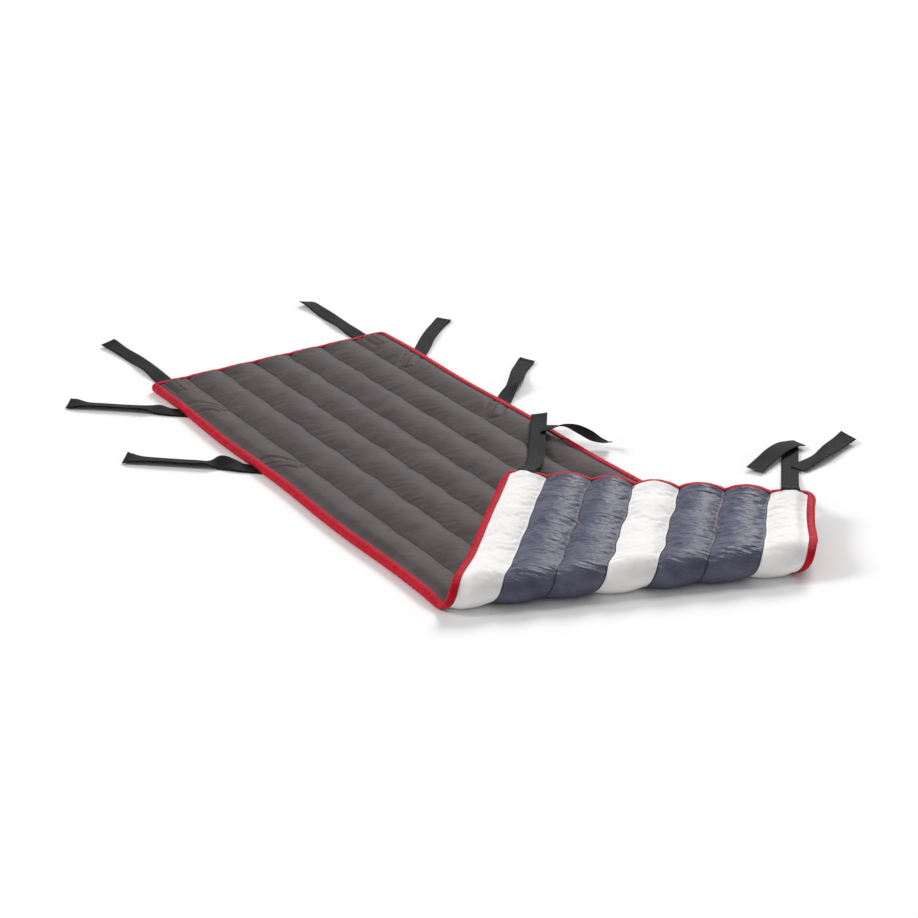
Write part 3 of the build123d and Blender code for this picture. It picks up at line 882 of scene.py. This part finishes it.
def build_binding_stitching():
    """One row of stitches along each face of the binding."""
    for part in PARTS:
        groups = []
        for run in binding_line(part):
            flat = np.array([edge_place(part, station, BINDING_LEG - 0.003) for station in run])
            far = np.concatenate([[0], np.cumsum(np.hypot(*np.diff(flat, axis=0).T))])
            begin = np.arange(int(far[-1] / STITCH_PITCH)) * STITCH_PITCH
            for share in (1, -1):
                starts, ends, over = [
                    binding_points(flat, far, at, share, off) for at, off in
                    ((begin, 0.002), (begin + STITCH, 0.002), (begin, 0.002 + 0.002))]
                if len(begin):
                    groups.append(stitches(starts, ends, unit(over - starts),
                                           width=0.0007, height=0.0005))
        points, faces, uv = join_stitches(groups)
        piece = build_mesh(f"{part}_binding_stitching", points, faces, RED_THREAD, uv)
        join_to_part(piece, part)


# --- webbing --------------------------------------------------------
WEB = 0.0017  # its thickness
LAYER_STEP = 0.0021
UPPER_TRIM = 0.012  # how much shorter the upper layer of a doubled tie is
ROUTE_STEP = 0.004


def spline(points):
    """A smooth curve through given points, sampled about every ROUTE_STEP metres."""
    p = np.asarray(points, float)
    p = np.concatenate([[2 * p[0] - p[1]], p, [2 * p[-1] - p[-2]]])
    out = []
    for a, b, c, d in zip(p, p[1:], p[2:], p[3:]):
        count = max(2, int(np.linalg.norm((c - b)[:3]) / ROUTE_STEP))
        f = np.arange(count)[:, None] / count
        w = cubic_weights(f[:, 0])
        out.append(w[:, :1] * a + w[:, 1:2] * b + w[:, 2:3] * c + w[:, 3:] * d)
    return np.concatenate(out + [p[-2:-1]])


def ribbon(name, route, offset=0.0, trim=0.0, flare=0.0):
    """Webbing along a route of (x, y, z, roll in degrees), offset off its face."""
    line = spline(route)
    if trim:
        line = line[:-max(1, int(trim / ROUTE_STEP))]
    centre, roll = line[:, :3], np.radians(line[:, 3:4])
    along = unit(np.gradient(centre, axis=0))
    level = unit(np.cross(along, [0, 0, 1.0]))
    over = np.cross(level, along)
    aside = level * np.cos(roll) + over * np.sin(roll)
    face = over * np.cos(roll) - level * np.sin(roll)
    centre = centre + face * offset
    far = np.concatenate([[0], np.cumsum(np.linalg.norm(np.diff(centre, axis=0), axis=1))])
    half = WEB_WIDTH / 2 * (1 + flare * smooth(far, far[-1] - 0.05, far[-1]))
    across = np.linspace(-1, 1, 9)
    cup = 0.0005 * across ** 2  # webbing cups a little
    top = [(a, WEB / 2 + c) for a, c in zip(across, cup)]
    under = [(a, -WEB / 2 + c) for a, c in zip(across[::-1], cup[::-1])]
    section = top + [(1.02, 0.0005)] + under + [(-1.02, 0.0005)]
    points = np.stack([centre + aside * (a * half)[:, None] + face * h for a, h in section], 1)
    rows, columns = points.shape[:2]
    uv = np.stack([np.broadcast_to(far[:, None], (rows, columns)),
                   np.broadcast_to([a * WEB_WIDTH / 2 for a, _ in section], (rows, columns))], -1)
    faces = grid_faces(rows, columns, flip=True, closed=True).tolist()
    faces.append(list(range(columns)))
    faces.append([(rows - 1) * columns + c for c in reversed(range(columns))])
    mesh = bpy.data.meshes.new(name)
    mesh.from_pydata(points.reshape(-1, 3).tolist(), [], faces)
    mesh.polygons.foreach_set("use_smooth", [len(f) == 4 for f in faces])
    piece = add_piece(name, mesh, WEBBING, uv)
    return piece


def hinge(name):
    return joint_vector(f"{name}_lift", "pos_m")


def bend_at(piece):
    """Bakes a piece's transform into its mesh."""
    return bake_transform(piece)


def placed(site, local):
    """A route from a tie's hinge, given as (along, aside, height, roll in degrees)."""
    (px, py), (ax, ay), _ = SITES[site]
    clear = np.hypot(*(hinge(f"tie_{site}")[:2] - (px, py)))
    return [(px + ax * (clear + a) + ay * s, py + ay * (clear + a) - ax * s, z, roll)
            for a, s, z, roll in local]


SEWN_END = [(-0.034, 0, 0.0024, 0), (0, 0, 0.0024, 0)]
# how each head and side tie lies from there on
LAID = {
    "head_left": [
        (0.05, 0.001, 0.003, 4), (0.13, 0.003, 0.006, -5), (0.22, 0.001, 0.004, 4),
        (0.3, -0.005, 0.004, 0), (0.345, -0.01, 0.007, 4), (0.378, -0.014, 0.01, 10)],
    "head_right": [
        (0.06, -0.001, 0.004, 5), (0.14, 0.002, 0.006, -6), (0.23, 0.006, 0.004, 4),
        (0.3, 0.009, 0.005, -4), (0.335, 0.009, 0.007, -10), (0.366, 0.007, 0.0075, -14)],
    "shoulder_left": [
        (0.03, 0.002, 0.006, 8), (0.06, 0.003, 0.008, -10), (0.11, 0.003, 0.0066, -13),
        (0.18, 0.001, 0.0066, -13), (0.225, -0.001, 0.0062, -10), (0.252, -0.002, 0.007, 6),
        (0.272, -0.003, 0.008, 14)],
    "hip_left": [
        (0.022, 0.002, 0.007, 14), (0.052, 0.003, 0.011, 30), (0.084, 0.002, 0.008, -14),
        (0.12, 0.0, 0.0066, -13), (0.2, -0.003, 0.0066, -13), (0.262, -0.005, 0.006, -6),
        (0.292, -0.006, 0.009, 16)],
    "shoulder_right": [
        (0.05, -0.002, 0.0036, -3), (0.11, -0.006, 0.004, 3), (0.17, -0.006, 0.003, 0),
        (0.225, -0.002, 0.0034, 0), (0.266, 0.003, 0.005, -4)],
    "hip_right": [
        (0.04, 0.002, 0.008, 10), (0.085, 0.006, 0.014, 24), (0.14, 0.003, 0.007, 6),
        (0.2, -0.003, 0.004, -3), (0.255, 0.0, 0.005, -6), (0.285, 0.003, 0.008, -10)],
}


def build_level_ties():
    for site, local in LAID.items():
        route = placed(site, SEWN_END + local)
        body = f"tie_{site}"
        for layer, offset, trim in (("lower", 0.0, 0.0), ("upper", LAYER_STEP, UPPER_TRIM)):
            piece = ribbon(f"{body}_{layer}_web", route, offset, trim, flare=0.06)
            bend_at(piece)
            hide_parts(f"{body}_{layer}")


FOOT_AXIS = joint_vector("tie_foot_left_lift", "axis")
ALONG = np.array([-FOOT_AXIS[1], FOOT_AXIS[0]])  # the way the foot ties lead
ASIDE = np.array([ALONG[1], -ALONG[0]])


def on_flap(site, along, height):
    """A point on the turned-over end beside a foot tie; height is off the cloth."""
    (px, py), _, _ = SITES[site]
    return place(np.array([px, py - along, HEM_BOTTOM - height]))


def turned_right(way, degrees):
    """A level direction turned clockwise, and the direction to the right of that."""
    heading = math.atan2(way[1], way[0]) - math.radians(degrees)
    turned = np.array([math.cos(heading), math.sin(heading)])
    return turned, np.array([turned[1], -turned[0]])


def led_from(start, ahead, beside, local):
    """A route from a hinge, given as (ahead, beside, height, roll in degrees)."""
    return [(*(start[:2] + ahead * a + beside * s), z, roll) for a, s, z, roll in local]


def foot_route(site, local):
    """A foot tie from on top of the turned-over end, out along the mat."""
    root = [(*on_flap(site, along, height), 0)
            for along, height in ((-0.024, 0.0034), (-0.008, 0.0036))]
    return root + led_from(hinge(f"tie_{site}"), ALONG, ASIDE, local)


def build_left_foot_tie():
    piece = ribbon("tie_foot_left_web", foot_route("foot_left", [
        (0.03, -0.001, 0.062, 0), (0.085, -0.004, 0.048, 3), (0.15, -0.01, 0.037, -2),
        (0.24, -0.024, 0.036, 3), (0.32, -0.035, 0.038, -3), (0.392, -0.045, 0.042, 8)]))
    bend_at(piece)
    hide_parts("tie_foot_left", "flap_tie_tabs")
    branch = hinge("tie_foot_left_tail")
    piece = ribbon("tie_foot_left_tail_web", led_from(branch, ASIDE, ALONG, [
        (-0.046, 0.004, 0.04, 0), (-0.022, 0.006, 0.044, 8), (0.01, 0.008, 0.05, 30),
        (0.045, 0.003, 0.045, 56), (0.078, -0.005, 0.034, 62), (0.106, -0.011, 0.026, 40),
        (0.128, -0.012, 0.024, 20)]), flare=0.08)
    bend_at(piece)
    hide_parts("tie_foot_left_tail")


def build_right_foot_tie():
    piece = ribbon("tie_foot_right_web", foot_route("foot_right", [
        (0.03, -0.001, 0.04, 0), (0.09, -0.004, 0.02, -4), (0.16, -0.009, 0.006, 2),
        (0.26, -0.015, 0.003, 0), (0.34, -0.02, 0.004, 3), (0.388, -0.024, 0.006, 5)]))
    bend_at(piece)
    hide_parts("tie_foot_right")

    crease = hinge("tie_foot_right_folded_tail")
    back, beside = turned_right(-ALONG, 35)
    piece = ribbon("tie_foot_right_folded_tail_web", led_from(crease, back, beside, [
        (0.0, 0.0, 0.008, 0), (0.024, 0.002, 0.013, 0), (0.06, 0.002, 0.017, 8),
        (0.105, -0.004, 0.016, 14), (0.155, -0.013, 0.011, 8), (0.196, -0.022, 0.008, 4)]),
        flare=0.05)
    crease_axis = joint_vector("tie_foot_right_folded_tail_lift", "axis")
    across = np.array([-crease_axis[1], crease_axis[0]])
    across *= np.sign(across @ back)
    bend_at(piece)
    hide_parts("tie_foot_right_folded_tail")

    branch = hinge("tie_foot_right_tail")
    way, beside = turned_right(ALONG, 30)
    piece = ribbon("tie_foot_right_tail_web", led_from(branch, way, beside, [
        (-0.03, -0.002, 0.006, 0), (0.004, 0.0, 0.007, 3), (0.06, 0.002, 0.009, 12),
        (0.11, 0.0, 0.012, -6), (0.155, -0.002, 0.013, -12), (0.194, -0.004, 0.016, -16)]),
        flare=0.06)
    bend_at(piece)
    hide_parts("tie_foot_right_tail")


# --- camera and studio ----------------------------------------------
SENSOR_MM, LENS_MM = 36.0, 78.431373
TARGET = np.array([0.088, -0.025, 0.0])


def build_camera():
    azimuth, elevation = math.radians(-31.11), math.radians(23.92)
    distance, roll = 4.786, math.radians(-1.32)
    back = np.array([math.sin(azimuth) * math.cos(elevation),
                     -math.cos(azimuth) * math.cos(elevation), math.sin(elevation)])
    side = unit(np.cross([0, 0, 1.0], back))
    up = np.cross(back, side)
    turned = side * math.cos(roll) + up * math.sin(roll)
    up = up * math.cos(roll) - side * math.sin(roll)
    camera = bpy.data.objects.new("camera", bpy.data.cameras.new("camera"))
    bpy.context.scene.collection.objects.link(camera)
    bpy.context.scene.camera = camera
    camera.data.sensor_width = SENSOR_MM
    camera.data.lens = LENS_MM
    camera.data.clip_end = 60.0
    rows = np.stack([turned, up, back, TARGET + back * distance], 1)
    camera.matrix_world = Matrix([*rows.tolist(), [0, 0, 0, 1]])


def soft_light(name, away, strength, spread):
    """A distant light of a wide angle in degrees, so that the floor is lit evenly."""
    light = bpy.data.lights.new(name, "SUN")
    light.energy, light.angle = strength, math.radians(spread)
    lamp = bpy.data.objects.new(name, light)
    bpy.context.scene.collection.objects.link(lamp)
    lamp.rotation_euler = Matrix(look_from(np.array(away, float))).to_euler()


def look_from(away):
    """Rotation that points a lamp's -Z against away."""
    z = unit(away)
    x = unit(np.cross([0, 1.0, 0], z))
    return np.stack([x, np.cross(z, x), z], 1).tolist()


def build_studio():
    bpy.ops.mesh.primitive_plane_add(size=40)
    floor = bpy.context.object
    floor.name = "floor"
    paint = bpy.data.materials.new("floor")
    paint.use_nodes = True
    surface = paint.node_tree.nodes["Principled BSDF"]
    surface.inputs["Base Color"].default_value = (0.97, 0.97, 0.97, 1)
    surface.inputs["Roughness"].default_value = 0.9
    surface.inputs["Specular IOR Level"].default_value = 0.1
    floor.data.materials.append(paint)
    world = bpy.data.worlds.new("studio")
    bpy.context.scene.world = world
    world.use_nodes = True
    sky = world.node_tree.nodes["Background"]
    sky.inputs["Color"].default_value = (1, 1, 1, 1)
    sky.inputs["Strength"].default_value = 0.41
    soft_light("key", (-1.2, 0.85, 1.0), strength=1.4, spread=18)
    soft_light("back", (1.05, 0.8, 0.95), strength=2.0, spread=20)
    bpy.context.scene.view_settings.view_transform = "Standard"


build_camera()
build_inner_cover()
build_outer_cover()
build_binding()
build_seams()
build_box_stitching()
build_binding_stitching()
build_level_ties()
build_left_foot_tie()
build_right_foot_tie()
build_studio()

sewn_webbing = webbing_material("sewn_webbing", on_cad=True)
for material_slot in frame["nodes"]["main_tie_tabs"].material_slots:
    material_slot.material = sewn_webbing
